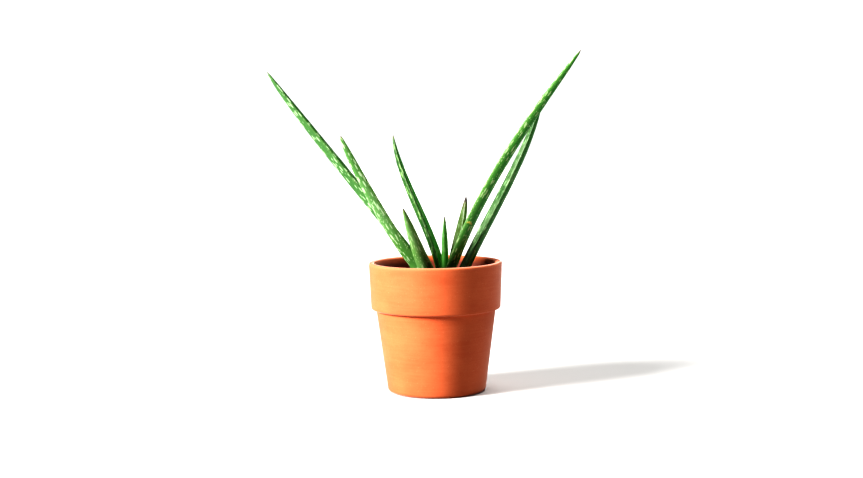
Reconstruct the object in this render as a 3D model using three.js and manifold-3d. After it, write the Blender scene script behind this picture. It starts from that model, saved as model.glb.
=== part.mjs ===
// A young aloe in a rolled-rim clay pot: a clay pot, the soil in it, a short stem with its roots,
// and eight leaves that clasp the stem. Millimetres, +Z up. The finished group stands on Z = 0, with
// the middle of its bounding box over the origin.
import * as THREE from "three";
import { mergeVertices } from "three/addons/utils/BufferGeometryUtils.js";
import Module from "manifold-3d";

const wasm = await Module();
wasm.setup();

// Clay pot
const RIM_RADIUS = 65; // outside of the collar, at the lip
const COLLAR_FOOT_RADIUS = 63; // outside of the collar, at its lower edge
const COLLAR_HEIGHT = 45;
const BODY_TOP_RADIUS = 58.5; // outside of the body, just under the collar
const BASE_RADIUS = 48.2;
const POT_HEIGHT = 126;
const BODY_WALL = 5.6;
const FLOOR_THICKNESS = 7;
const DRAIN_HOLE_RADIUS = 7;
const LIP_ROUNDING = 1.8;
const COLLAR_ROUNDING = 2.2;
const BASE_ROUNDING = 3;
const FLOOR_FILLET = 5;
const POT_SIDES = 64;

// Soil
const SOIL_DEPTH_BELOW_RIM = 20;
const SOIL_MOUND = 2.5; // how much higher the soil stands round the stem
const SOIL_WAVES = 0.6;

// Stem and roots
const STEM_OFFSET = 7; // the stem stands this far to the right of the pot's axis
const STEM_RADIUS = 7;
const STEM_ABOVE_SOIL = 3;
const STEM_BELOW_SOIL = 24;
const ROOT_COUNT = 6;
const ROOT_REACH = 30;
const ROOT_DROP = 48;
const ROOT_RADIUS = 1.9;

// Pieces that touch keep this gap
const CLEARANCE = 0.3;

// Leaves. base is the leaf's foot, measured from the stem's axis and the soil's level. heading is
// where the tip points, seen from above, counter-clockwise from +X. lean is the angle between the
// foot-to-tip line and the vertical, and start and end are the leans of the leaf's own two ends.
// taper is high on a leaf that keeps its size far up, point is 1 for a fine tip and less for a
// blunter one, and flare is how much wider the leaf spreads where it clasps the stem. From the
// youngest leaf to the oldest:
const LEAVES = [
  {
    name: "leaf_small_centre", base: [2.5, -1, 2], heading: 250, lean: 0, start: 1, end: 1,
    length: 63, width: 7.4, thickness: 4.8, taper: 4.6, point: 0.8, flare: 0, color: 0x4f8f3a,
  },
  {
    name: "leaf_tall_centre", base: [2.2, 3, 1], heading: 155, lean: 20.8, start: 10, end: 11,
    length: 153, width: 11, thickness: 6.6, taper: 4, point: 0.72, flare: 0.35, color: 0x3f8434,
  },
  {
    name: "leaf_short_right", base: [5.4, 6, 0], heading: 40, lean: 16.6, start: 13.5, end: 14,
    length: 86, width: 10.6, thickness: 6, taper: 6.4, point: 0.8, flare: 0, color: 0x5c8a45,
  },
  {
    name: "leaf_long_right", base: [-1, -4, -2], heading: -12, lean: 31.4, start: 18.5, end: 40.5,
    length: 262.5, width: 16, thickness: 8.4, taper: 3.3, point: 0.62, flare: 0.2, color: 0x3d8a33,
  },
  {
    name: "leaf_short_left", base: [-3.5, -9, -2], heading: 228, lean: 32.7, start: 50, end: 31,
    length: 93, width: 18.8, thickness: 9, taper: 2.8, point: 0.75, flare: 0, color: 0x6b9a62,
  },
  {
    name: "leaf_long_left", base: [-5, 4, -4], heading: 172.5, lean: 38.2, start: 35.3, end: 37.8,
    length: 269, width: 14, thickness: 8.4, taper: 3.6, point: 0.58, flare: 0.2, color: 0x4e9446,
  },
  {
    name: "leaf_mid_left", base: [-5.6, -5, -4], heading: 200, lean: 32.6, start: 41, end: 28.5,
    length: 176, width: 15.4, thickness: 8.9, taper: 3.1, point: 0.52, flare: 0.1, color: 0x5a9a55,
  },
  {
    name: "leaf_lower_right", base: [11.3, 3, -4], heading: 20, lean: 27.4, start: 26, end: 18,
    length: 210, width: 15, thickness: 7, taper: 4.8, point: 0.75, flare: 0.2, color: 0x357a30,
  },
];
const LEAF_SIDES = 16;
const LEAF_RINGS = 22;
const LEAF_FOOT = 9; // length of the rounded foot
const CHANNEL_SHARE = 0.55; // depth of the channel on the inner face, as a share of the thickness
const MARGIN_SHARE = 0.34; // thickness of the rounded margins, as a share of the thickness
const WIDTH_TAPER = 0.55; // the width tapers sooner than the thickness, by this share

const soilLevel = POT_HEIGHT - SOIL_DEPTH_BELOW_RIM;
const radians = THREE.MathUtils.degToRad;

// A closed three.js geometry as a solid, and a solid as a geometry with flat facets.
function toSolid(geometry) {
  const bare = geometry.clone();
  bare.deleteAttribute("normal");
  bare.deleteAttribute("uv");
  const merged = mergeVertices(bare, 1e-4);
  const vertProperties = new Float32Array(merged.attributes.position.array);
  const triVerts = new Uint32Array(merged.index.array);
  return new wasm.Manifold(new wasm.Mesh({ numProp: 3, vertProperties, triVerts }));
}

function toGeometry(solid) {
  const mesh = solid.getMesh();
  const geometry = new THREE.BufferGeometry();
  geometry.setAttribute("position", new THREE.BufferAttribute(mesh.vertProperties, mesh.numProp));
  geometry.setIndex(new THREE.BufferAttribute(mesh.triVerts, 1));
  geometry.computeVertexNormals();
  return geometry;
}

// Points of a quarter-circle edge rounding in a lathe profile, from one angle to another.
function rounding(centreRadius, centreHeight, size, fromDegrees, toDegrees, steps = 3) {
  const points = [];
  for (let i = 0; i <= steps; i++) {
    const angle = radians(fromDegrees + ((toDegrees - fromDegrees) * i) / steps);
    const radius = centreRadius + size * Math.cos(angle);
    points.push(new THREE.Vector2(radius, centreHeight + size * Math.sin(angle)));
  }
  return points;
}

// The inside of the pot is one straight taper, parallel to the outside of the body.
const collarFoot = POT_HEIGHT - COLLAR_HEIGHT;
const wallSlope = (BODY_TOP_RADIUS - BASE_RADIUS) / collarFoot;
function innerRadius(height) {
  return BASE_RADIUS - BODY_WALL + wallSlope * height;
}

function makePot() {
  const floorEdge = innerRadius(FLOOR_THICKNESS + FLOOR_FILLET) - FLOOR_FILLET;
  const profile = [
    new THREE.Vector2(DRAIN_HOLE_RADIUS, 0),
    ...rounding(BASE_RADIUS - BASE_ROUNDING, BASE_ROUNDING, BASE_ROUNDING, -90, 0),
    new THREE.Vector2(BODY_TOP_RADIUS, collarFoot),
    ...rounding(
      COLLAR_FOOT_RADIUS - COLLAR_ROUNDING, collarFoot + COLLAR_ROUNDING, COLLAR_ROUNDING, -90, 0,
    ),
    ...rounding(RIM_RADIUS - LIP_ROUNDING, POT_HEIGHT - LIP_ROUNDING, LIP_ROUNDING, 0, 90),
    ...rounding(
      innerRadius(POT_HEIGHT) + LIP_ROUNDING, POT_HEIGHT - LIP_ROUNDING, LIP_ROUNDING, 90, 180,
    ),
    ...rounding(floorEdge, FLOOR_THICKNESS + FLOOR_FILLET, FLOOR_FILLET, 0, -90),
    new THREE.Vector2(DRAIN_HOLE_RADIUS, FLOOR_THICKNESS),
    new THREE.Vector2(DRAIN_HOLE_RADIUS, 0),
  ];
  const pot = new THREE.LatheGeometry(profile, POT_SIDES);
  return toSolid(pot.rotateX(Math.PI / 2));
}

function makeSoil() {
  const bottom = FLOOR_THICKNESS + CLEARANCE;
  const floorEdge = innerRadius(FLOOR_THICKNESS + FLOOR_FILLET) - FLOOR_FILLET;
  const profile = [
    new THREE.Vector2(0, bottom),
    ...rounding(floorEdge, bottom + FLOOR_FILLET, FLOOR_FILLET - CLEARANCE, -90, 0),
  ];
  const edge = innerRadius(soilLevel) - CLEARANCE;
  const rings = 7;
  for (let i = rings; i >= 0; i--) {
    const share = i / rings;
    const height = soilLevel + SOIL_MOUND * (1 - share) ** 2;
    profile.push(new THREE.Vector2(edge * share, height));
  }
  const soil = new THREE.LatheGeometry(profile, POT_SIDES / 2).rotateX(Math.PI / 2);
  const position = soil.attributes.position;
  for (let i = 0; i < position.count; i++) {
    if (position.getZ(i) < soilLevel - SOIL_WAVES) continue;
    const wave = Math.sin(position.getX(i) / 6) * Math.cos(position.getY(i) / 5);
    position.setZ(i, position.getZ(i) + SOIL_WAVES * wave);
  }
  return toSolid(soil);
}

// A sphere's latitude becomes the place along a curve and its longitude the way round the section,
// so the shape is closed at both ends.
function sweptSolid(sides, rings, place) {
  const sphere = new THREE.SphereGeometry(1, sides, rings);
  const position = sphere.attributes.position;
  const point = new THREE.Vector3();
  for (let i = 0; i < position.count; i++) {
    const along = (position.getY(i) + 1) / 2;
    const ring = Math.hypot(position.getX(i), position.getZ(i));
    const angle = ring > 1e-6 ? Math.atan2(position.getZ(i), position.getX(i)) : 0;
    place(along, angle, ring > 1e-6, point);
    position.setXYZ(i, point.x, point.y, point.z);
  }
  return toSolid(sphere);
}

// The direction at a given lean from the vertical, towards a heading.
function direction(heading, lean) {
  const flat = Math.sin(radians(lean));
  const turned = radians(heading);
  return new THREE.Vector3(
    flat * Math.cos(turned), flat * Math.sin(turned), Math.cos(radians(lean)),
  );
}

function leafSpine(leaf) {
  const [x, y, z] = leaf.base;
  const foot = new THREE.Vector3(STEM_OFFSET + x, y, soilLevel + z);
  const tip = foot.clone().addScaledVector(direction(leaf.heading, leaf.lean), leaf.length);
  const handle = leaf.length / 3;
  return new THREE.CubicBezierCurve3(
    foot,
    foot.clone().addScaledVector(direction(leaf.heading, leaf.start), handle),
    tip.clone().addScaledVector(direction(leaf.heading, leaf.end), -handle),
    tip,
  );
}

// A leaf's section is a crescent: round outside, channelled on the face towards the stem.
function makeLeaf(leaf, grow = 0) {
  const spine = leafSpine(leaf);
  const across = direction(leaf.heading - 90, 90);
  return sweptSolid(LEAF_SIDES, LEAF_RINGS, (along, angle, onRing, point) => {
    const forward = spine.getTangent(along);
    const inward = new THREE.Vector3().crossVectors(across, forward).normalize();
    point.copy(spine.getPoint(along));
    if (!onRing) {
      point.addScaledVector(forward, along > 0.5 ? grow : -grow);
      return;
    }
    const fromFoot = Math.min((along * leaf.length) / LEAF_FOOT, 1);
    const foot = Math.sqrt(1 - (1 - fromFoot) ** 2);
    const narrowed = (1 - along ** (leaf.taper * WIDTH_TAPER)) ** leaf.point;
    const half = (leaf.width / 2) * foot * (narrowed + leaf.flare * (1 - along) ** 8) + grow;
    const thick = leaf.thickness * foot * (1 - along ** leaf.taper) ** leaf.point;
    const bow = Math.sin(angle);
    const channel = CHANNEL_SHARE * fromFoot * (1 - along) * bow * bow;
    const inner = thick * (MARGIN_SHARE * bow - channel) + grow * bow;
    const outer = (thick + grow) * bow;
    point.addScaledVector(across, half * Math.cos(angle));
    point.addScaledVector(inward, bow > 0 ? inner : outer);
  });
}

function makeStem(grow = 0) {
  const top = soilLevel + STEM_ABOVE_SOIL;
  const bottom = soilLevel - STEM_BELOW_SOIL;
  return sweptSolid(16, 12, (along, angle, onRing, point) => {
    const height = bottom - grow + (top - bottom + 2 * grow) * along;
    const ends = Math.sqrt(Math.sqrt(1 - (2 * along - 1) ** 4));
    const radius = onRing ? (STEM_RADIUS + grow) * ends : 0;
    const angleUp = -angle;
    point.set(STEM_OFFSET + radius * Math.cos(angleUp), radius * Math.sin(angleUp), height);
  });
}

// One root leaves the stem's side, bends down and thins to its end.
function makeRoot(index, grow) {
  const heading = (360 * index) / ROOT_COUNT + 25;
  const reach = ROOT_REACH * (index % 2 ? 1 : 0.7);
  const drop = ROOT_DROP * (index % 2 ? 0.8 : 1);
  const start = new THREE.Vector3(STEM_OFFSET, 0, soilLevel - STEM_BELOW_SOIL * 0.6);
  const out = direction(heading, 90);
  const bend = start.clone().addScaledVector(out, reach);
  const end = bend.clone().add(new THREE.Vector3(0, 0, -drop));
  const route = new THREE.QuadraticBezierCurve3(start, bend, end);
  const side = direction(heading + 90, 90);
  return sweptSolid(6, 10, (along, angle, onRing, point) => {
    const forward = route.getTangent(along);
    const up = new THREE.Vector3().crossVectors(side, forward).normalize();
    point.copy(route.getPoint(along));
    if (!onRing) {
      point.addScaledVector(forward, along > 0.5 ? grow : -grow);
      return;
    }
    const radius = ROOT_RADIUS * (1 - 0.7 * along) + grow;
    point.addScaledVector(side, radius * Math.cos(angle));
    point.addScaledVector(up, radius * Math.sin(angle));
  });
}

function makeStemAndRoots(grow = 0) {
  let solid = makeStem(grow);
  for (let i = 0; i < ROOT_COUNT; i++) solid = solid.add(makeRoot(i, grow));
  return solid;
}

const clay = new THREE.MeshStandardMaterial({ color: 0xc4622f, roughness: 0.85 });
const earth = new THREE.MeshStandardMaterial({ color: 0x3a2a1e, roughness: 1 });
const pith = new THREE.MeshStandardMaterial({ color: 0xa9a878, roughness: 0.8 });

const plant = new THREE.Group();
function addPiece(name, solid, material) {
  const mesh = new THREE.Mesh(toGeometry(solid), material);
  mesh.name = name;
  plant.add(mesh);
}

addPiece("pot", makePot(), clay);
addPiece("stem_and_roots", makeStemAndRoots(), pith);

// Each leaf, from the youngest out, is cut to clear the stem and the leaves inside it.
let filled = makeStemAndRoots(CLEARANCE);
for (const leaf of LEAVES) {
  const solid = makeLeaf(leaf).subtract(filled);
  const material = new THREE.MeshStandardMaterial({ color: leaf.color, roughness: 0.45 });
  addPiece(leaf.name, solid, material);
  filled = filled.add(makeLeaf(leaf, CLEARANCE));
}
addPiece("soil", makeSoil().subtract(filled), earth);

const middle = new THREE.Box3().setFromObject(plant).getCenter(new THREE.Vector3());
plant.position.set(-middle.x, -middle.y, 0);

export default plant;
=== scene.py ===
# %% [markdown]
# # A young aloe in a clay pot
#
# A moulded clay pot, its potting soil and a young aloe with eight long leaves. The sizes and the
# places are settled already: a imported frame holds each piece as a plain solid, in metres, with
# +Z up. Here each plain solid gets its finished shape and surface, and stays where the frame says.

# %% Load the frame
import math
import random

import bmesh
import bpy
import numpy as np
from mathutils import Matrix, Vector, noise
from mathutils.bvhtree import BVHTree


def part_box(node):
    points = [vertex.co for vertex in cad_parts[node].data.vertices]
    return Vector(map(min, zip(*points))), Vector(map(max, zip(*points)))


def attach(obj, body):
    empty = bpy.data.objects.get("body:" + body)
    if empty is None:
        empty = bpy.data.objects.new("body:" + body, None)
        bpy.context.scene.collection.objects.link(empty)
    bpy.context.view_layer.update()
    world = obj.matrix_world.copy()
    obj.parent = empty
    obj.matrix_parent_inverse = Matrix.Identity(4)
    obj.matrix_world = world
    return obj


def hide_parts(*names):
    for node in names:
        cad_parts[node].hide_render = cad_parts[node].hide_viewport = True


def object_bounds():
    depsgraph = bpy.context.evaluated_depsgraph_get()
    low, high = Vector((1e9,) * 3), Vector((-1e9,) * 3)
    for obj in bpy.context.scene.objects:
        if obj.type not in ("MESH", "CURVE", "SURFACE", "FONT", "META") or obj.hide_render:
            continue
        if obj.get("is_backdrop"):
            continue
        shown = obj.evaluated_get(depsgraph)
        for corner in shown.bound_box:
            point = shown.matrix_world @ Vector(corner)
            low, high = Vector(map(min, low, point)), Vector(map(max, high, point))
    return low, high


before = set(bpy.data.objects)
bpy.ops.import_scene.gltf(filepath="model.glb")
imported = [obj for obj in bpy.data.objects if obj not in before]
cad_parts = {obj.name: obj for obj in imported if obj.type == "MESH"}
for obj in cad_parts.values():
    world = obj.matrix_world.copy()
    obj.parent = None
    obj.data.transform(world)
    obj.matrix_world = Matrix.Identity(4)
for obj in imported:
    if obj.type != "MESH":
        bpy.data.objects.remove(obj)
cad_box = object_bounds()
MM = 0.001
BODY = "root"
UP = Vector((0, 0, 1))
print("the frame's pieces:", ", ".join(sorted(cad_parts)))
print("whole size in mm:", [round(side / MM, 1) for side in cad_box[1] - cad_box[0]])

# %% [markdown]
# ## Cutting a solid in slices
#
# A piece in the frame is a plain solid, and its finished shape has to lie where that solid lies.
# The solid's box would give its size, but a box says nothing about a bend or a taper. A plane that
# cuts through the solid, as a knife cuts a carrot, gives the outline of one section, and a row of
# such cuts gives the whole run. The frame's solids are loose triangles, so a copy is merged first.


# %% A copy to cut, and one slice of it
def merged_copy(name):
    """A copy of a frame solid whose loose triangles are joined."""
    solid = bmesh.new()
    solid.from_mesh(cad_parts[name].data)
    bmesh.ops.remove_doubles(solid, verts=solid.verts, dist=0.01 * MM)
    return solid


def slice_points(solid, point, normal):
    """Where a plane cuts a solid: the points of the section's outline."""
    knife = solid.copy()
    geometry = knife.verts[:] + knife.edges[:] + knife.faces[:]
    cut = bmesh.ops.bisect_plane(
        knife, geom=geometry, dist=1e-7, plane_co=point, plane_no=normal
    )
    points = [v.co.copy() for v in cut["geom_cut"] if isinstance(v, bmesh.types.BMVert)]
    knife.free()
    return points


# %% [markdown]
# ## From a shaped mesh to a piece
#
# Every piece ends the same way: its faces are turned outwards, and it is shaded and hung on the
# frame's body. Turning all faces the same way can still leave a long bent shape inside out, and
# then its volume comes out below zero. The object stays at the origin, so a pattern that reads
# the object's own coordinates stays put.


# %% Make a finished piece
def make_piece(name, shape, finish, stands_for=(), smooth=True):
    """Turns a shaped bmesh into a piece of the object, with its material."""
    bmesh.ops.recalc_face_normals(shape, faces=shape.faces)
    if shape.calc_volume(signed=True) < 0:
        bmesh.ops.reverse_faces(shape, faces=shape.faces)
    mesh = bpy.data.meshes.new(name)
    shape.to_mesh(mesh)
    shape.free()
    mesh.polygons.foreach_set("use_smooth", [smooth] * len(mesh.polygons))
    mesh.materials.append(finish)
    piece = bpy.data.objects.new(name, mesh)
    bpy.context.scene.collection.objects.link(piece)
    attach(piece, BODY)
    if stands_for:
        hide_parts(*stands_for)
    print(name, "has", len(mesh.polygons), "faces")


# %% [markdown]
# ## Writing a finish as sums
#
# A clay or a leaf surface is several patterns laid over each other. The nodes could be placed by
# hand in the editor, but a mask such as one minus the margin is easier to read as arithmetic. So
# a wire holds one socket, and a sum or a product on it adds the Math node that it needs.


# %% A wire of a node tree
class Wire:
    """One socket of a finish. Arithmetic on it adds Math nodes, and node() adds any other."""

    def __init__(self, tree, socket=None):
        self.tree = tree
        self.socket = socket

    def node(self, kind, settings=None, inputs=None, output=0):
        """Adds a node: first its settings or a ramp's stops, then its sockets' values or wires."""
        made = self.tree.nodes.new(kind)
        for key, value in (settings or {}).items():
            if key == "stops":
                ramp = made.color_ramp.elements
                while len(ramp) < len(value):
                    ramp.new(1)
                for stop, (position, colour) in zip(ramp, value):
                    stop.position = position
                    stop.color = colour
            else:
                setattr(made, key, value)
        for key, value in (inputs or {}).items():
            if isinstance(value, Wire):
                self.tree.links.new(value.socket, made.inputs[key])
            else:
                made.inputs[key].default_value = value
        return Wire(self.tree, made.outputs[output] if made.outputs else None)

    def math(self, operation, *values):
        return self.node("ShaderNodeMath", {"operation": operation}, dict(enumerate(values)))

    def __add__(self, other):
        return self.math("ADD", self, other)

    def __sub__(self, other):
        return self.math("SUBTRACT", self, other)

    def __rsub__(self, other):
        return self.math("SUBTRACT", other, self)

    def __mul__(self, other):
        return self.math("MULTIPLY", self, other)

    def __abs__(self):
        return self.math("ABSOLUTE", self)

    __radd__ = __add__
    __rmul__ = __mul__


# %% [markdown]
# A few patterns come back in every finish: a soft step, a stretched vector, a noise, a cell
# pattern and a blend of two colours. Each gets a short name here.


# %% Patterns that every finish uses
def colour(red, green, blue):
    """A colour given on a 0 to 255 scale, as the linear colour that light works with."""
    def linear(share):
        return share / 12.92 if share <= 0.04045 else ((share + 0.055) / 1.055) ** 2.4

    return (linear(red / 255), linear(green / 255), linear(blue / 255), 1)


def start_finish(name):
    """A new material with an empty node tree, and a wire to build it from."""
    material = bpy.data.materials.new(name)
    material.use_nodes = True
    material.node_tree.nodes.clear()
    return material, Wire(material.node_tree)


def step(wire, low, high):
    """A soft step: 0 below low, 1 above high. With low above high it runs the other way."""
    return wire.node(
        "ShaderNodeMapRange",
        {"interpolation_type": "SMOOTHSTEP"},
        {"Value": wire, "From Min": low, "From Max": high},
    )


def object_place(start):
    """Where a point lies in its object, in metres: output 3 of the Texture Coordinate node."""
    return start.node("ShaderNodeTexCoord", None, None, 3)


def kept_vector(start, name):
    """A vector that each point of the mesh keeps: output 1 of the Attribute node."""
    return start.node("ShaderNodeAttribute", {"attribute_name": name}, None, 1)


def stretched(vector, x, y, z):
    """A vector measured in steps of x, y and z millimetres, so that a pattern gets that grain."""
    steps = [1 / (side * MM) for side in (x, y, z)]
    return vector.node("ShaderNodeVectorMath", {"operation": "MULTIPLY"}, {0: vector, 1: steps})


def mottle(vector, detail=3, roughness=0.55, distortion=0):
    """Cloudy noise between 0 and 1, one cloud to each step of its vector."""
    values = {
        "Vector": vector,
        "Scale": 1,
        "Detail": detail,
        "Roughness": roughness,
        "Distortion": distortion,
    }
    return vector.node("ShaderNodeTexNoise", None, values)


def cells(vector):
    """How far the middle of the nearest of many scattered cells is, one cell to each step."""
    return vector.node("ShaderNodeTexVoronoi", None, {"Vector": vector, "Scale": 1})


def blend(share, first, second):
    """The first colour where the share is 0, the second where it is 1."""
    # A Mix node keeps the sockets of every kind of data: for colours these are 6 and 7, and 2 out.
    inputs = {0: share, 6: first, 7: second}
    return share.node("ShaderNodeMix", {"data_type": "RGBA"}, inputs, 2)


def parts_of(vector):
    """The three numbers of a vector."""
    return [vector.node("ShaderNodeSeparateXYZ", None, {0: vector}, axis) for axis in range(3)]


def end_finish(start, base, rough, height, depth, **constants):
    """Closes a finish: its colour, roughness and relief, and what is the same all over."""
    bump = start.node("ShaderNodeBump", None, {"Strength": 1, "Distance": depth, "Height": height})
    inputs = {"Base Color": base, "Roughness": rough, "Normal": bump, **constants}
    surface = start.node("ShaderNodeBsdfPrincipled", None, inputs)
    start.node("ShaderNodeOutputMaterial", None, {"Surface": surface})


# %% [markdown]
# ## The pot
#
# The pot is red clay pressed in a mould and fired: a tapered body, and above it a deep collar that
# stands proud by a few millimetres. It is round, so slices across it give the inside and outside
# radius at each height, and the height where the outside jumps is the foot of the collar.

# %% Measure the pot
INSIDE, OUTSIDE = 0, 1
COLLAR_SEARCH = (0.5, 0.9)
BODY_CUTS = (0.2, 0.5)
INNER_CUTS = (0.3, 0.8)
COLLAR_CUT = 4 * MM
DRAIN_CUT = 2 * MM
FIT = 0.3 * MM
pot_low, pot_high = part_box("pot")
pot_axis = Vector(((pot_low.x + pot_high.x) / 2, (pot_low.y + pot_high.y) / 2, 0))
pot_height = pot_high.z
rim_radius = (pot_high.x - pot_low.x) / 2
pot_solid = merged_copy("pot")


def wall_radii(height):
    """The inside and outside radius of the pot at one height."""
    level = pot_axis + height * UP
    reach = [(p - level).length for p in slice_points(pot_solid, level, UP)]
    return min(reach), max(reach)


def find_collar_foot():
    """The height where the outside steps out, looked for a millimetre at a time."""
    lowest, highest = (int(share * pot_height / MM) for share in COLLAR_SEARCH)
    heights = [h * MM for h in range(lowest, highest)]
    outside = [wall_radii(h)[OUTSIDE] for h in heights]
    jumps = [b - a for a, b in zip(outside, outside[1:])]
    return heights[jumps.index(max(jumps))] + MM / 2


def wall_line(low_cut, high_cut, face):
    """A wall's radius at the pot's foot and how it widens with height, from two slices."""
    low, high = low_cut * pot_height, high_cut * pot_height
    low_radius, high_radius = wall_radii(low)[face], wall_radii(high)[face]
    slope = (high_radius - low_radius) / (high - low)
    return low_radius - low * slope, slope


collar_foot = find_collar_foot()
body_base_radius, body_slope = wall_line(*BODY_CUTS, OUTSIDE)
body_top_radius = body_base_radius + collar_foot * body_slope
collar_foot_radius = wall_radii(collar_foot + COLLAR_CUT)[OUTSIDE]
inner_base_radius, inner_slope = wall_line(*INNER_CUTS, INSIDE)
drain_radius = wall_radii(DRAIN_CUT)[INSIDE]
floor_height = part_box("soil")[0].z - FIT


def inner_radius(height):
    """The inside radius of the pot's wall at one height."""
    return inner_base_radius + height * inner_slope


print("pot radius in mm: rim", round(rim_radius / MM, 1), "base", round(body_base_radius / MM, 1))
print("collar foot at", collar_foot / MM, "radius", round(collar_foot_radius / MM, 1))

# %% [markdown]
# A pot like this could be turned from a cylinder by scaling loops, but its whole shape is one
# outline carried round an axis. So the outline is drawn once, a few corners joined in a ring,
# each corner is rounded as its mould rounds it, and the spin makes the rest.

# %% Draw the outline and spin it
LIP_ROUND = 1.9 * MM
COLLAR_ROUND = 2.0 * MM
CREASE_ROUND = 0.7 * MM
BASE_ROUND = 3.0 * MM
INNER_FOOT_ROUND = 5.0 * MM
DRAIN_ROUND = 0.8 * MM
POT_STEPS = 192
RING_SPACING = 1.6 * MM
CORNER_STEPS = 6


def outline_ring(shape, corners):
    """Joins corners (radius, height, rounding) into a closed ring, and rounds each of them."""
    verts = [shape.verts.new((radius, 0, height)) for radius, height, _ in corners]
    for a, b in zip(verts, verts[1:] + verts[:1]):
        shape.edges.new((a, b))
    for vert, (_, _, rounding) in zip(verts, corners):
        bmesh.ops.bevel(
            shape,
            geom=[vert],
            offset=rounding,
            segments=CORNER_STEPS,
            profile=0.5,
            affect="VERTICES",
            material=-1,
        )


def divide_long_edges(shape, longest):
    """Cuts every edge that is longer than this into equal stretches."""
    for edge in shape.edges[:]:
        cuts = int(edge.calc_length() / longest)
        if cuts:
            bmesh.ops.subdivide_edges(shape, edges=[edge], cuts=cuts)


def spin_round(shape, steps):
    """Carries an outline once round the Z axis, then moves it onto the pot's axis."""
    bmesh.ops.spin(
        shape,
        geom=shape.verts[:] + shape.edges[:],
        cent=(0, 0, 0),
        axis=(0, 0, 1),
        angle=2 * math.pi,
        steps=steps,
        use_merge=True,
    )
    bmesh.ops.remove_doubles(shape, verts=shape.verts, dist=0.001 * MM)
    bmesh.ops.translate(shape, verts=shape.verts, vec=pot_axis)


def shape_pot():
    shape = bmesh.new()
    outline_ring(
        shape,
        [
            (drain_radius, 0, DRAIN_ROUND),
            (body_base_radius, 0, BASE_ROUND),
            (body_top_radius, collar_foot, CREASE_ROUND),
            (collar_foot_radius, collar_foot, COLLAR_ROUND),
            (rim_radius, pot_height, LIP_ROUND),
            (inner_radius(pot_height), pot_height, LIP_ROUND),
            (inner_radius(floor_height), floor_height, INNER_FOOT_ROUND),
            (drain_radius, floor_height, DRAIN_ROUND),
        ],
    )
    divide_long_edges(shape, RING_SPACING)
    spin_round(shape, POT_STEPS)
    return shape


pot_shape = shape_pot()
print("the spun pot has", len(pot_shape.verts), "points")

# %% [markdown]
# Fired clay is never quite true. The mould leaves faint rings that run round the wall, and the
# fire draws the wall a little in and out. Both are real relief, a quarter of a millimetre deep at
# most, so they go into the mesh: each point moves in along its radius by two noises, one that
# changes only with height and one that changes slowly round the pot.

# %% Mould rings and a wall that isn't quite true
RING_DEPTH, RING_PITCH = 0.07 * MM, 2.6 * MM
WANDER_DEPTH, WANDER_LENGTH = 0.18 * MM, 38 * MM


def age_wall(shape):
    for vert in shape.verts:
        place = vert.co - pot_axis
        radial = Vector((place.x, place.y, 0))
        rings = noise.noise(Vector((0, 0, place.z / RING_PITCH))) - 1
        wander = noise.noise(place / WANDER_LENGTH) - 1
        vert.co += radial.normalized() * 0.5 * (RING_DEPTH * rings + WANDER_DEPTH * wander)


age_wall(pot_shape)
print("the wall's relief is", round((RING_DEPTH + WANDER_DEPTH) / MM, 2), "mm deep at most")

# %% [markdown]
# ## Fired clay
#
# Unglazed clay is one colour from afar and many close to: the body goes from salmon to brick in
# soft clouds, fine sand shows as light and dark grains, the mould's rings catch dust, and edges
# that hands and other pots rub are paler. A single orange would look like plastic. The clouds,
# grains and rings are three noises of very different size, and they also drive the relief.


# %% The clay finish
LIP_BAND = (3.6 * MM, 1.2 * MM)
FOOT_BAND = (2.5 * MM, 0.3 * MM)
DAMP_AND_SHADE_DEPTH = 6 * MM
WALL_SKIN = 1.6 * MM
CLAY_RELIEF = 0.22 * MM


def inner_wall(start, where):
    """1 on the pot's inner wall, 0 elsewhere, from how far a point is from the pot's axis."""
    radial = {0: where, 1: (1, 1, 0), 2: -pot_axis}
    flat = start.node("ShaderNodeVectorMath", {"operation": "MULTIPLY_ADD"}, radial)
    reach = flat.node("ShaderNodeVectorMath", {"operation": "LENGTH"}, {0: flat}, 1)
    inner_face = inner_base_radius + parts_of(where)[2] * inner_slope
    return step(reach - inner_face, WALL_SKIN, WALL_SKIN - MM)


def clay_finish():
    material, start = start_finish("fired_clay")
    where = object_place(start)
    z = parts_of(where)[2]
    clouds = mottle(stretched(where, 45, 45, 30), 4, 0.6)
    streaks = mottle(stretched(where, 50, 50, 2.2), 3, 0.6)
    sand = mottle(stretched(where, 1.1, 1.1, 1.1), 2, 0.7)
    speck = step(cells(stretched(where, 3.4, 3.4, 3.4)), 0.16, 0.08)
    tone = blend(step(clouds, 0.3, 0.72), colour(202, 98, 50), colour(212, 112, 64))
    tone = blend(step(streaks, 0.35, 0.75) * 0.22, tone, colour(216, 126, 78))
    tone = blend(step(sand, 0.55, 0.75) * 0.22, tone, colour(168, 68, 30))
    tone = blend(speck * 0.3, tone, colour(226, 150, 104))
    lip = step(z, pot_height - LIP_BAND[0], pot_height - LIP_BAND[1])
    foot = step(z, *FOOT_BAND)
    tone = blend((lip + foot) * 0.25, tone, colour(216, 132, 88))
    # Painted shade, partly real damp: the inner wall is painted darker below the rim, fully so a few
    # millimetres down inside the pot.
    damp_and_shade = step(z + clouds * 4 * MM, pot_height + MM, pot_height - DAMP_AND_SHADE_DEPTH)
    tone = blend(inner_wall(start, where) * damp_and_shade * 0.85, tone, colour(104, 36, 16))
    rough = 0.62 + 0.2 * sand + 0.08 * clouds
    relief = sand * 0.55 + streaks * 0.35 + speck * 0.25
    dust = {"Sheen Weight": 0.35, "Sheen Roughness": 0.4, "Specular IOR Level": 0.7}
    end_finish(start, tone, rough, relief, CLAY_RELIEF, **dust)
    return material


make_piece("clay_pot", pot_shape, clay_finish(), ["pot"])

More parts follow.
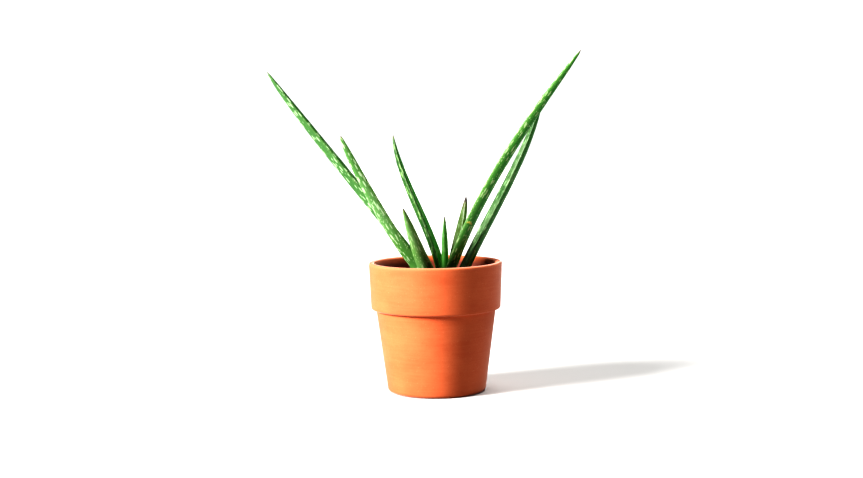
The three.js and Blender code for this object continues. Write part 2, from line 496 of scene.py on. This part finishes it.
# %% [markdown]
# ## Potting soil
#
# The soil fills the pot to two centimetres under the rim. It is peat with bark and a little
# perlite, so its top is a field of crumbs rather than a smooth sheet. One way is a flat disc with
# a picture of soil. Here the top is a finely divided disc that three sizes of noise push up and
# down, and loose crumbs, chips and granules lie on it as pieces of their own.

# %% The height of the soil
SOUNDINGS = 48
SOUNDING_REACH = 0.85
SOIL_SAG = 1.2 * MM
SOIL_LUMPS = {9 * MM: 1.3 * MM, 3.1 * MM: 0.8 * MM, 1.3 * MM: 0.35 * MM}
soil_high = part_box("soil")[1]
soil_tree = BVHTree.FromPolygons(
    [v.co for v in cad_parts["soil"].data.vertices],
    [p.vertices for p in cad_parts["soil"].data.polygons],
)


def soil_edge_level():
    """The height of the soil near the wall, the middle one of many soundings."""
    reach = SOUNDING_REACH * inner_radius(soil_high.z)
    soundings = []
    for turn in range(SOUNDINGS):
        angle = math.tau * turn / SOUNDINGS
        top = pot_axis + Vector((reach * math.cos(angle), reach * math.sin(angle), pot_height))
        soundings.append(soil_tree.ray_cast(top, -UP)[0].z)
    return sorted(soundings)[len(soundings) // 2]


soil_level = soil_edge_level()
soil_radius = inner_radius(soil_level) - FIT
print("soil level in mm", round(soil_level / MM, 1), "radius", round(soil_radius / MM, 1))


def soil_height(x, y):
    """The top of the soil: a low mound in the middle, with clods, crumbs and grit on it."""
    reach = math.hypot(x - pot_axis.x, y - pot_axis.y) / soil_radius
    mound = (soil_high.z - soil_level) * (1 - reach**2) - SOIL_SAG
    place = Vector((x, y, 0))
    lumps = sum(height * noise.noise(place / size) for size, height in SOIL_LUMPS.items())
    return min(soil_level + mound + lumps, soil_high.z)


# %% Shape the soil
SOIL_STEPS = 168
SOIL_SPACING = 0.8 * MM
WALL_BAND = 3 * MM


def shape_soil():
    shape = bmesh.new()
    foot_radius = inner_radius(floor_height) - FIT
    corners = [
        (0, floor_height + FIT),
        (foot_radius - INNER_FOOT_ROUND, floor_height + FIT),
        (foot_radius, floor_height + FIT + INNER_FOOT_ROUND),
        (soil_radius, soil_level - WALL_BAND),
        (soil_radius, soil_level),
        (0, soil_level),
    ]
    verts = [shape.verts.new((radius, 0, height)) for radius, height in corners]
    for a, b in zip(verts, verts[1:]):
        shape.edges.new((a, b))
    top = verts[-1].link_edges[0]
    bmesh.ops.subdivide_edges(shape, edges=[top], cuts=int(soil_radius / SOIL_SPACING))
    spin_round(shape, SOIL_STEPS)
    for vert in shape.verts:
        if vert.co.z > soil_level - MM:
            vert.co.z = soil_height(vert.co.x, vert.co.y)
    return shape


# %% [markdown]
# Moist peat is nearly black in its hollows and brown where it has dried. The finish follows that:
# dark where a fine noise is low, lighter where it is high, with a few fibres of straw colour.


# %% The soil, bark and perlite finishes
def soil_finish():
    material, start = start_finish("potting_soil")
    where = object_place(start)
    lumps = mottle(stretched(where, 4, 4, 4), 5, 0.7)
    dust = mottle(stretched(where, 0.8, 0.8, 0.8), 2, 0.7)
    fibres = mottle(stretched(where, 6, 0.7, 3), 2, 0.5, 1.5)
    tone = blend(step(lumps, 0.35, 0.7), colour(36, 25, 19), colour(82, 60, 44))
    tone = blend(step(dust, 0.5, 0.8) * 0.5, tone, colour(112, 86, 62))
    tone = blend(step(fibres, 0.68, 0.76) * 0.6, tone, colour(140, 112, 78))
    end_finish(start, tone, 0.85 + 0.12 * dust, lumps + 0.5 * dust, 0.8 * MM)
    return material


def chip_finish(name, dark, pale, grain):
    """A finish for loose bits: two tones in lumps of a size in millimetres, with a dusty grain."""
    material, start = start_finish(name)
    where = object_place(start)
    lumps = mottle(stretched(where, grain, grain, 2 * grain), 4, 0.65)
    dust = mottle(stretched(where, grain / 6, grain / 6, grain / 6), 2, 0.6)
    tone = blend(step(lumps, 0.3, 0.7), dark, pale)
    tone = blend(step(dust, 0.5, 0.8) * 0.3, tone, dark)
    end_finish(start, tone, 0.8 + 0.15 * dust, lumps + dust, 0.25 * MM)
    return material


make_piece("potting_soil_bed", shape_soil(), soil_finish(), ["soil"])

# %% [markdown]
# Loose bits are scattered by trying places at random. A place counts if it is inside the wall and
# clear of every leaf. Each bit is one small rounded or flat shape, turned and squeezed at random,
# and partly sunk in the soil.

# %% Scatter crumbs, bark chips and perlite
LEAVES = sorted(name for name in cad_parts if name.startswith("leaf_"))
BIT_CLEARANCE = 0.5 * MM
MOST_TILT = 0.5


def tree_of(name):
    """A search tree over a frame solid's surface."""
    solid = merged_copy(name)
    tree = BVHTree.FromBMesh(solid)
    solid.free()
    return tree


leaf_trees = {name: tree_of(name) for name in LEAVES}


def clear_of_plant(point, distance):
    return all(tree.find_nearest(point, distance)[0] is None for tree in leaf_trees.values())


def scatter(seed, count, smallest, largest, make_bit, sunk):
    """Places bits on the soil: make_bit adds one of radius 1 at the origin to the shape."""
    rng = random.Random(seed)
    shape = bmesh.new()
    placed = 0
    while placed < count:
        size = rng.uniform(smallest, largest)
        angle = rng.uniform(0, math.tau)
        reach = (soil_radius - size - MM) * math.sqrt(rng.random())
        x = pot_axis.x + reach * math.cos(angle)
        y = pot_axis.y + reach * math.sin(angle)
        point = Vector((x, y, soil_height(x, y) + size * (1 - 2 * sunk)))
        spin, lean, _ = (rng.uniform(0, math.tau) for _ in range(3))
        if not clear_of_plant(point, size + BIT_CLEARANCE):
            continue
        verts = make_bit(shape, rng)
        bmesh.ops.scale(shape, vec=(size, size, size), verts=verts)
        bmesh.ops.rotate(shape, matrix=Matrix.Rotation(spin, 3, "Z"), verts=verts)
        tilt = MOST_TILT * math.sin(lean)
        bmesh.ops.rotate(shape, matrix=Matrix.Rotation(tilt, 3, "X"), verts=verts)
        bmesh.ops.translate(shape, vec=point, verts=verts)
        placed += 1
    return shape


def round_bit(shape, rng, fineness=1):
    """A lumpy grain."""
    verts = bmesh.ops.create_icosphere(shape, subdivisions=fineness, radius=1)["verts"]
    for vert in verts:
        vert.co *= rng.uniform(0.72, 1.05)
    squeeze = (rng.uniform(0.8, 1.2), rng.uniform(0.7, 1), rng.uniform(0.55, 0.85))
    bmesh.ops.scale(shape, vec=squeeze, verts=verts)
    return verts


def flat_bit(shape, rng):
    """A chip of bark, longer than wide, with broken corners."""
    verts = bmesh.ops.create_cube(shape, size=1.6)["verts"]
    for vert in verts:
        vert.co *= rng.uniform(0.75, 1.1)
    squeeze = (rng.uniform(1, 1.6), rng.uniform(0.6, 0.9), rng.uniform(0.25, 0.4))
    bmesh.ops.scale(shape, vec=squeeze, verts=verts)
    edges = {edge for vert in verts for edge in vert.link_edges}
    bevelled = bmesh.ops.bevel(
        shape, geom=list(edges), offset=0.12, segments=1, profile=0.5, affect="EDGES", material=-1
    )
    return list({vert for face in bevelled["faces"] for vert in face.verts})


def perlite_bit(shape, rng):
    """A grain of perlite, rounder than a crumb."""
    return round_bit(shape, rng, fineness=2)


crumb_shape = scatter(
    seed=11, count=520, smallest=0.5 * MM, largest=1.7 * MM, make_bit=round_bit, sunk=0.35
)
bark_shape = scatter(
    seed=12, count=46, smallest=1.6 * MM, largest=3.4 * MM, make_bit=flat_bit, sunk=0.3
)
perlite_shape = scatter(
    seed=13, count=60, smallest=0.7 * MM, largest=1.8 * MM, make_bit=perlite_bit, sunk=0.3
)
bark_finish = chip_finish("bark", colour(52, 32, 20), colour(118, 78, 48), 1.6)
crumb_finish = chip_finish("peat_crumbs", colour(30, 21, 16), colour(78, 56, 40), 1.2)
perlite_finish = chip_finish("perlite", colour(176, 170, 158), colour(238, 235, 226), 0.9)
make_piece("soil_crumbs", crumb_shape, crumb_finish, smooth=False)
make_piece("bark_chips", bark_shape, bark_finish, smooth=False)
make_piece("perlite_grains", perlite_shape, perlite_finish)

# %% [markdown]
# ## Reading the leaves
#
# Each leaf is read from its foot to its tip. Low down, where a leaf is clearly wider than deep,
# the two points farthest apart in a slice are its margins, so the line between them is the way
# across. That way is carried up the whole leaf. At every station the outermost points along it
# are the margins, and their middle, their spacing and the depth below and above them describe the
# section. The first pass slices along a straight line, and the second follows the bend.

# %% Read one leaf
FIRST_STATION = 0.08
READ_STRETCH = 0.9
GAPS = 23
STATIONS = [FIRST_STATION + READ_STRETCH * i / GAPS for i in range(GAPS + 1)]
WIDE_STRETCH = (0.11, 0.29)
CHANNEL_SHARE = 0.3
LINE_DEGREE = 5
PASSES = 3
LENGTH_STEPS = 64


def smooth_between(places, values, place):
    """A value between measured ones, on a curve that passes through them all."""
    last = len(places) - 1
    i = min(max(sum(p <= place for p in places) - 1, 0), last - 1)
    share = min(max((place - places[i]) / (places[i + 1] - places[i]), 0), 1)
    before, after = values[max(i - 1, 0)], values[min(i + 2, last)]
    a, b = values[i], values[i + 1]
    lean_a, lean_b = (b - before) / 2, (after - a) / 2
    return (
        a * (1 + 2 * share) * (1 - share) ** 2
        + b * share**2 * (3 - 2 * share)
        + lean_a * share * (1 - share) ** 2
        - lean_b * share**2 * (1 - share)
    )


class LeafRun:
    """The run of one leaf: its line, the way across it, and its section at every share of it."""

    def __init__(self, name):
        self.solid = merged_copy(name)
        corners = [v.co.copy() for v in self.solid.verts]
        low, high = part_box("stem_and_roots")
        crown = Vector(((low.x + high.x) / 2, (low.y + high.y) / 2, high.z))
        tip = max(corners, key=lambda p: (p - crown).length)
        foot = max(corners, key=lambda p: (p - tip).length)
        self.line = [np.polynomial.Polynomial([a, b - a]) for a, b in zip(foot, tip)]
        self.across = self.find_across()
        self.shares = STATIONS + [1]
        for _ in range(PASSES):
            sections = [self.section(share) for share in STATIONS]
            middles = [s["middle"] for s in sections] + [tip]
            self.line = [self.fit_line([middle[k] for middle in middles]) for k in range(3)]
        if sum(s["above"] - s["below"] for s in sections) > 0:
            self.across = -self.across
            sections = [self.section(share) for share in STATIONS]
        self.half = [s["half"] for s in sections] + [0]
        self.below = [s["below"] for s in sections] + [0]
        self.dish = [s["dish"] for s in sections] + [0]
        ticks = [self.point(i / LENGTH_STEPS) for i in range(LENGTH_STEPS + 1)]
        self.length = sum((b - a).length for a, b in zip(ticks, ticks[1:]))
        self.solid.free()

    def fit_line(self, values):
        """A smooth curve through the values at the stations and at the tip."""
        return np.polynomial.Polynomial.fit(self.shares, values, LINE_DEGREE).convert()

    def point(self, share):
        return Vector([fit(share) for fit in self.line])

    def ahead(self, share):
        return Vector([fit.deriv()(share) for fit in self.line]).normalized()

    def axes(self, share):
        """Across, up and ahead at one share: up is the side that the leaf's channel faces."""
        ahead = self.ahead(share)
        across = (self.across - ahead * self.across.dot(ahead)).normalized()
        return across, across.cross(ahead), ahead

    def find_across(self):
        found = []
        for share in STATIONS:
            if WIDE_STRETCH[0] < share < WIDE_STRETCH[1]:
                outline = slice_points(self.solid, self.point(share), self.ahead(share))
                pairs = [(p, q) for p in outline for q in outline]
                a, b = max(pairs, key=lambda pair: (pair[0] - pair[1]).length)
                way = (b - a).normalized()
                found.append(way if not found or way.dot(found[0]) > 0 else -way)
        middle = len(found) // 2
        return Vector([sorted(way[k] for way in found)[middle] for k in range(3)]).normalized()

    def section(self, share):
        across, up, ahead = self.axes(share)
        outline = slice_points(self.solid, self.point(share), ahead)
        right = max(outline, key=lambda p: p.dot(across))
        left = min(outline, key=lambda p: p.dot(across))
        middle = (left + right) / 2
        half = (right - left).dot(across) / 2
        rises = [(p - middle).dot(up) for p in outline]
        near = CHANNEL_SHARE * half
        central = [
            (p - middle).dot(up) for p in outline if abs((p - middle).dot(across)) < near
        ]
        return {
            "middle": middle,
            "half": half,
            "above": max(rises),
            "below": -min(rises),
            "dish": max(central),
        }

    def at(self, share):
        """Half width, depth below and height of the channel's floor at one share."""
        rows = (self.half, self.below, self.dish)
        return [smooth_between(self.shares, row, share) for row in rows]


runs = {name: LeafRun(name) for name in LEAVES}
for name, run in runs.items():
    width = round(2 * run.at(0.2)[0] / MM, 1)
    print(name, "is", round(run.length / MM), "mm long and", width, "wide")

# %% [markdown]
# ## Growing the leaves
#
# An aloe's leaf is fleshy: rounded underneath, hollowed on top, with two margins that carry small
# soft teeth, and a tip that dries out. It could be a bent cone, but then the channel and the
# margins would be missing. A sphere has the right build, a foot pole, a tip pole and rings in
# between, so each of its points is moved onto the section that was read for its share of the leaf.
#
# Every point also keeps where it would lie if the leaf were straight. The finish reads that, so
# its flecks run with the leaf however the leaf bends, and they have no seam.

# %% Shape a leaf
LEAF_SIDES = 40
RING_STEP = 0.75 * MM
FOOT_ROUND = 9 * MM
MARGIN_FULLNESS = 0.34
SPARE = 0.35 * MM
TOOTH_SPACING = (9 * MM, 15 * MM)
TOOTH_HEIGHT = 0.9 * MM
TOOTH_LEAN = 0.45
TOOTHED_SHARE = 0.93
SWELL, SWELL_LENGTH = 0.12 * MM, 7 * MM


def leaf_point(run, share, angle):
    """A point of a leaf's skin, and where it would lie on a straight leaf."""
    half, below, dish = run.at(share)
    closing = 1 - max(0, 1 - share * run.length / FOOT_ROUND) ** 2
    half *= math.sqrt(closing)
    below *= math.sqrt(closing)
    across, up, ahead = run.axes(share)
    side = half * math.cos(angle)
    rise = below * math.sin(angle)
    if rise > 0:
        edge = MARGIN_FULLNESS * below
        rise = edge * math.sin(angle) + (dish * closing - edge) * math.sin(angle) ** 2
    straight = Vector((side, rise, share * run.length))
    return run.point(share) + side * across + rise * up, straight


def draw_in(tree, point):
    """Draws a point that lies outside a frame solid back onto it."""
    nearest, normal, _, distance = tree.find_nearest(point)
    outside = (point - nearest).dot(normal) > 0
    return nearest + normal * SPARE * 0.5 if outside and distance > SPARE else point


def tooth_rings(run, rings, rng):
    """The rings that carry a tooth on one margin."""
    place = rng.uniform(0.5, 1) * TOOTH_SPACING[0]
    found = {}
    while place < TOOTHED_SHARE * run.length:
        size = rng.uniform(0.7, 1.1) * (1 - 0.6 * place / run.length)
        found[round(place / run.length * rings)] = size
        place += rng.uniform(*TOOTH_SPACING)
    return found


def shape_leaf(name, seed):
    run = runs[name]
    tree = leaf_trees[name]
    rng = random.Random(seed)
    rings = round(run.length / RING_STEP)
    teeth = {side: tooth_rings(run, rings, rng) for side in (0, LEAF_SIDES // 2)}
    shape = bmesh.new()
    bmesh.ops.create_uvsphere(shape, u_segments=LEAF_SIDES, v_segments=rings, radius=1)
    straight_layer = shape.verts.layers.float_vector.new("straight")
    place_layer = shape.verts.layers.float_vector.new("place")
    for vert in shape.verts:
        fall = math.acos(max(-1, min(1, vert.co.z))) / math.pi
        ring = round((1 - fall) * rings)
        angle = math.atan2(vert.co.y, vert.co.x)
        side = round(angle / math.tau * LEAF_SIDES) % LEAF_SIDES
        share = ring / rings
        point, straight = leaf_point(run, share, angle)
        point = draw_in(tree, point)
        across, up, ahead = run.axes(share)
        spot = straight / SWELL_LENGTH + Vector((0, 0, seed))
        swell = SWELL * (noise.noise(spot) - 0.5)
        point += (across * math.cos(angle) + up * math.sin(angle)) * swell
        tooth = teeth.get(side, {}).get(ring, 0)
        if tooth:
            way = across * math.cos(angle) + ahead * TOOTH_LEAN
            point += way * tooth * TOOTH_HEIGHT
        vert.co = point
        vert[straight_layer] = straight
        vert[place_layer] = (math.cos(angle), math.sin(angle), tooth)
    return shape


# %% [markdown]
# ## The skin of a leaf
#
# The skin is a mid green under a thin grey-green bloom, thicker underneath. Long pale flecks lie in
# it, in loose bands across the leaf, and fine veins run along it. The margins and their teeth are
# paler, and the last millimetres of the tip are dry. The side that faces away from the window is
# painted a clearer green, painted light that stands in for light coming through the leaf. A painted
# picture would have a seam and would stretch at the tip. All of this is worked out from the straight
# leaf's coordinates.


# %% Green skin, its bloom and its margins
BLOOM_TONE = colour(92, 132, 80)
MARGIN_TONE = colour(132, 158, 104)
TOOTH_TONE = colour(150, 160, 116)
MIDDLE_SHARE = 0.4


def skin_tone(run, side, face, clouds, veins, look):
    """Green in soft clouds under a bloom, and a painted glow of clearer green on the side away from
    the window.
    """
    tone = blend(step(clouds, 0.3, 0.72), look["deep"], look["fresh"])
    under = step(face, 0.35, -0.5)
    tone = blend(under * (0.25 + 0.5 * clouds) * look["bloom"], tone, BLOOM_TONE)
    tone = blend(step(veins, 0.42, 0.72) * 0.22, tone, look["deep"])
    across, up, _ = run.axes(MIDDLE_SHARE)
    # Painted light: the side turned away from the window sun is painted a clearer green, as light
    # coming through the leaf would show.
    shaded_side = step(side * across.x + face * up.x, 0.1, 0.65)
    return blend(shaded_side * look["clear"], tone, look["painted_glow_tone"])


def margin_tone(tone, side, tooth, look):
    """Paler margins, and still paler teeth."""
    tone = blend(step(abs(side), 0.955, 0.995) * look["margin"], tone, MARGIN_TONE)
    return blend(step(tooth, 0.05, 0.5) * 0.8, tone, TOOTH_TONE)


# %% Flecks and scars
SCAR_TONE = colour(182, 170, 84)
SCAR_WIDTH = (1.2 * MM, 0.5 * MM)
SCAR_BEND = 5 * MM
SCAR_WOBBLE = 3 * MM


def fleck_mask(shifted, wobble, look):
    """Long flecks and short ones, each kind in its own loose bands across the leaf."""
    bands = mottle(stretched(shifted, 30, 30, 11), 2, 0.5)
    spread = look["spread"]
    long_cells = cells(stretched(shifted, 1.9, 1.9, 9.2)) + 0.22 * wobble
    short_cells = cells(stretched(shifted, 1.5, 1.5, 4)) + 0.2 * wobble
    long_flecks = step(long_cells, 0.52, 0.4) * step(bands, spread, spread + 0.1)
    short_flecks = step(short_cells, 0.38, 0.28) * step(bands, 0.56, 0.44)
    flecks = (long_flecks + short_flecks * look["fine_flecks"]) * look["flecks"]
    return flecks.node("ShaderNodeClamp", None, {0: flecks})


def scar_tone(tone, along, face, wobble, look):
    """Thin straw-coloured rings, bent round the underside, where the skin was once nicked."""
    from_middle = abs(face + 0.45)
    for scar in look["scars"]:
        bent = along - scar + SCAR_BEND * from_middle + (wobble - 0.5) * SCAR_WOBBLE
        ring = step(abs(bent), *SCAR_WIDTH) * step(from_middle, 0.4, 0.2)
        tone = blend(ring * 0.8, tone, SCAR_TONE)
    return tone


# %% The leaf finish
FOOT_STRETCH = (26 * MM, 2 * MM)
FRAY = 4 * MM
SEED_SHIFT = 0.37
SKIN_RELIEF = 0.16 * MM


def leaf_finish(name, run, look, seed):
    material, start = start_finish(name + "_skin")
    straight = kept_vector(start, "straight")
    side, face, tooth = parts_of(kept_vector(start, "place"))
    along = parts_of(straight)[2]
    shift = {0: straight, 1: (0, 0, seed * SEED_SHIFT)}
    shifted = start.node("ShaderNodeVectorMath", {"operation": "ADD"}, shift)
    clouds = mottle(stretched(shifted, 12, 12, 50), 3, 0.55)
    veins = mottle(stretched(shifted, 1.2, 1.2, 30), 3, 0.6)
    grain = mottle(stretched(shifted, 0.7, 0.7, 1.2), 2, 0.6)
    wobble = mottle(stretched(shifted, 4, 4, 8), 2, 0.5)
    flecks = fleck_mask(shifted, wobble, look)
    tone = skin_tone(run, side, face, clouds, veins, look)
    tone = blend(flecks * 0.9, tone, look["fleck_tone"])
    tone = margin_tone(tone, side, tooth, look)
    tone = blend(step(along, *FOOT_STRETCH) * 0.5, tone, look["foot_tone"])
    frayed = along + (clouds - 0.5) * FRAY
    tip, drying = run.length, look["dry"]
    tired = step(frayed, tip - 2.6 * drying, tip - 0.8 * drying)
    dry = step(frayed, tip - 1.1 * drying, tip - 0.55 * drying)
    tone = blend(tired * 0.6, tone, look["tired_tone"])
    tone = blend(dry, tone, look["dry_tone"])
    tone = scar_tone(tone, along, face, wobble, look)
    rough = 0.36 + 0.16 * grain + 0.12 * flecks + 0.25 * dry
    relief = 0.5 * veins + 0.3 * grain + 0.35 * flecks + 0.3 * clouds
    end_finish(start, tone, rough, relief, SKIN_RELIEF)
    return material


# %% Each leaf's own look
LOOK = {
    "deep": colour(36, 92, 26),
    "fresh": colour(64, 124, 44),
    "bloom": 0.8,
    "flecks": 1,
    "spread": 0.44,
    "fine_flecks": 0.6,
    "fleck_tone": colour(142, 174, 126),
    # clear is the share of painted light, a clearer green on the side away from the window.
    "clear": 0,
    "painted_glow_tone": colour(36, 130, 10),
    "margin": 0.2,
    "foot_tone": colour(86, 118, 58),
    "dry": 2.5 * MM,
    "tired_tone": colour(112, 112, 48),
    "dry_tone": colour(112, 80, 48),
    "scars": (),
}
LOOKS = {
    "leaf_long_left": {
        **LOOK,
        "bloom": 1,
        "spread": 0.34,
        "fleck_tone": colour(168, 196, 152),
        "dry": 4 * MM,
        "tired_tone": colour(84, 112, 54),
        "dry_tone": colour(104, 112, 72),
    },
    "leaf_mid_left": {
        **LOOK,
        "deep": colour(76, 132, 48),
        "fresh": colour(122, 168, 98),
        "bloom": 1.2,
        "spread": 0.3,
        "fine_flecks": 1,
        "fleck_tone": colour(180, 204, 162),
        "clear": 0.7,
        "painted_glow_tone": colour(70, 150, 24),
        "dry": 2.2 * MM,
        "dry_tone": colour(84, 60, 34),
    },
    "leaf_short_left": {
        **LOOK,
        "deep": colour(80, 124, 50),
        "fresh": colour(138, 174, 104),
        "bloom": 1.1,
        "flecks": 0.9,
        "fine_flecks": 1.2,
        "fleck_tone": colour(160, 184, 136),
        "clear": 0.8,
        "painted_glow_tone": colour(92, 142, 44),
        "dry": 3 * MM,
        "dry_tone": colour(60, 36, 22),
    },
    "leaf_tall_centre": {
        **LOOK,
        "deep": colour(24, 76, 12),
        "fresh": colour(52, 98, 28),
        "bloom": 0.15,
        "spread": 0.4,
        "clear": 0.85,
        "painted_glow_tone": colour(34, 136, 6),
        "fleck_tone": colour(134, 166, 106),
        "dry_tone": colour(84, 72, 38),
    },
    "leaf_small_centre": {
        **LOOK,
        "deep": colour(54, 122, 42),
        "fresh": colour(88, 152, 64),
        "bloom": 0.3,
        "flecks": 0.5,
        "dry": 3.5 * MM,
        "dry_tone": colour(70, 54, 32),
    },
    "leaf_short_right": {
        **LOOK,
        "deep": colour(56, 82, 20),
        "fresh": colour(82, 108, 34),
        "bloom": 0,
        "flecks": 0.35,
        "clear": 0.7,
        "painted_glow_tone": colour(104, 146, 54),
        "margin": 0,
        "dry": 7 * MM,
        "tired_tone": colour(82, 66, 28),
        "dry_tone": colour(40, 22, 14),
    },
    "leaf_long_right": {
        **LOOK,
        "deep": colour(42, 108, 24),
        "fresh": colour(72, 138, 42),
        "bloom": 0.35,
        "flecks": 0.9,
        "fine_flecks": 0.9,
        "spread": 0.38,
        "margin": 0.35,
        "foot_tone": colour(50, 116, 34),
        "dry": 4.5 * MM,
        "dry_tone": colour(112, 92, 62),
        "scars": (67 * MM,),
        "tired_tone": colour(86, 116, 40),
        "fleck_tone": colour(180, 204, 150),
        "clear": 0.9,
        "painted_glow_tone": colour(26, 132, 8),
    },
    "leaf_lower_right": {
        **LOOK,
        "deep": colour(42, 82, 34),
        "fresh": colour(102, 124, 90),
        "bloom": 0.3,
        "flecks": 0.8,
        "fine_flecks": 0.4,
        "clear": 0.9,
        "painted_glow_tone": colour(16, 122, 6),
        "foot_tone": colour(66, 78, 56),
    },
}

for seed, name in enumerate(LEAVES):
    finish = leaf_finish(name, runs[name], LOOKS[name], seed + 1)
    shape = shape_leaf(name, seed + 1)
    make_piece(name.replace("leaf_", "aloe_leaf_"), shape, finish, [name])

# %% [markdown]
# ## The stem
#
# The short stem and the roots are in the soil, and only the stem's top shows between the leaves'
# feet. Its plain solid has the right shape there, so it stays, with a corky finish.

# %% The stem's finish
stem_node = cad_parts["stem_and_roots"]
stem_node.data.materials.clear()
stem_node.data.materials.append(
    chip_finish("corky_stem", colour(92, 74, 44), colour(168, 150, 104), 2.2)
)

# %% [markdown]
# ## Floor, light and camera
#
# The plant stands on a plain pale floor. Area lights near it would fade across the floor and leave
# its far side grey. Suns have the same strength everywhere, and a sun with a wide angle is as soft
# as a big window. So a low sun on the left does most of the work and casts the shadow, a wide one
# high up behind on the right fills it, and a faint one from the right lifts the pot's dark edge. A
# wide bright floor would light the pot from below and wash out its dark side, so light that
# bounces off the floor meets a darker one, as if the plant stood on a small table. The view is
# given more contrast and less exposure, as a bright room looks through a camera.

# %% Floor
FLOOR_RADIUS = 6
FLOOR_SIDES = 128
FLOOR_GAP = 0.2 * MM
CAMERA_RAY, DIFFUSE_RAY = 0, 2
floor_shape = bmesh.new()
bmesh.ops.create_circle(floor_shape, cap_ends=True, segments=FLOOR_SIDES, radius=FLOOR_RADIUS)
bmesh.ops.translate(floor_shape, verts=floor_shape.verts, vec=(0, 0, -FLOOR_GAP))
floor_mesh = bpy.data.meshes.new("floor")
floor_shape.to_mesh(floor_mesh)
floor_shape.free()
floor = bpy.data.objects.new("floor", floor_mesh)
bpy.context.scene.collection.objects.link(floor)
floor_material, floor_start = start_finish("white_floor")
bouncing = floor_start.node("ShaderNodeLightPath", None, None, DIFFUSE_RAY)
pale = floor_start.node("ShaderNodeBsdfDiffuse", None, {"Color": colour(209, 208, 206)})
quiet = floor_start.node("ShaderNodeBsdfDiffuse", None, {"Color": colour(150, 148, 146)})
floor_surface = floor_start.node("ShaderNodeMixShader", None, {0: bouncing, 1: pale, 2: quiet})
floor_start.node("ShaderNodeOutputMaterial", None, {"Surface": floor_surface})
floor_mesh.materials.append(floor_material)
floor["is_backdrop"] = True
print("the floor is", 2 * FLOOR_RADIUS, "m across")


# %% Lights
def soft_sun(name, turn, height, width, strength):
    """A sun of a width, at a turn right of the camera's side and at a height, all in degrees."""
    sun = bpy.data.lights.new(name, "SUN")
    sun.angle = math.radians(width)
    sun.energy = strength
    light = bpy.data.objects.new(name, sun)
    flat = math.cos(math.radians(height))
    turn = math.radians(turn)
    towards = Vector((flat * math.sin(turn), -flat * math.cos(turn), math.sin(math.radians(height))))
    light.rotation_euler = towards.to_track_quat("Z", "Y").to_euler()
    bpy.context.scene.collection.objects.link(light)
    print(name, "is a sun", height, "degrees high and", width, "wide")


soft_sun("window", turn=-64, height=25, width=20, strength=10.5)
soft_sun("ceiling", turn=130, height=74, width=40, strength=3.2)
soft_sun("side_wall", turn=110, height=20, width=40, strength=0.5)

WHITE = (1, 1, 1, 1)
ROOM_GLOW, WALL_BRIGHTNESS = 0.05, 1.05
world = bpy.data.worlds.new("pale_room")
bpy.context.scene.world = world
world.use_nodes = True
world.node_tree.nodes.clear()
air = Wire(world.node_tree)
seen = air.node("ShaderNodeLightPath", None, None, CAMERA_RAY)
glow = air.node("ShaderNodeBackground", None, {"Color": WHITE, "Strength": ROOM_GLOW})
wall = air.node("ShaderNodeBackground", None, {"Color": WHITE, "Strength": WALL_BRIGHTNESS})
room = air.node("ShaderNodeMixShader", None, {0: seen, 1: glow, 2: wall})
air.node("ShaderNodeOutputWorld", None, {"Surface": room})
view = bpy.context.scene.view_settings
view.view_transform = "Standard"
view.look = "Very High Contrast"
view.exposure = -0.6

# %% [markdown]
# The camera stands a good arm's length and a half away, a little above the pot's rim, and looks
# slightly down, so the rim shows as a thin ellipse and the plant is nearly in elevation.

# %% Camera
LENS, SENSOR_WIDTH = 58.24, 36
CAMERA_PLACE = Vector((pot_axis.x - 3.5 * MM, -1.352, 0.268))
LOOK_DOWN, ROLL = 5.07, -0.8
camera_data = bpy.data.cameras.new("camera")
camera_data.lens = LENS
camera_data.sensor_width = SENSOR_WIDTH
camera = bpy.data.objects.new("camera", camera_data)
bpy.context.scene.collection.objects.link(camera)
camera.matrix_world = (
    Matrix.Translation(CAMERA_PLACE)
    @ Matrix.Rotation(math.radians(90 - LOOK_DOWN), 4, "X")
    @ Matrix.Rotation(math.radians(ROLL), 4, "Z")
)
bpy.context.scene.camera = camera
print("the camera is", round((CAMERA_PLACE - pot_axis).length, 2), "m from the pot's foot")

# %% [markdown]
# ## The size, side by side
#
# The finished plant has to keep the frame's size, so both boxes are printed side by side.

# %% Print the two sizes
new_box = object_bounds()
sizes = {
    "cad_low": list(cad_box[0]),
    "cad_high": list(cad_box[1]),
    "visual_low": list(new_box[0]),
    "visual_high": list(new_box[1]),
}
for key, corner in sizes.items():
    print(key, [round(c / MM, 2) for c in corner])
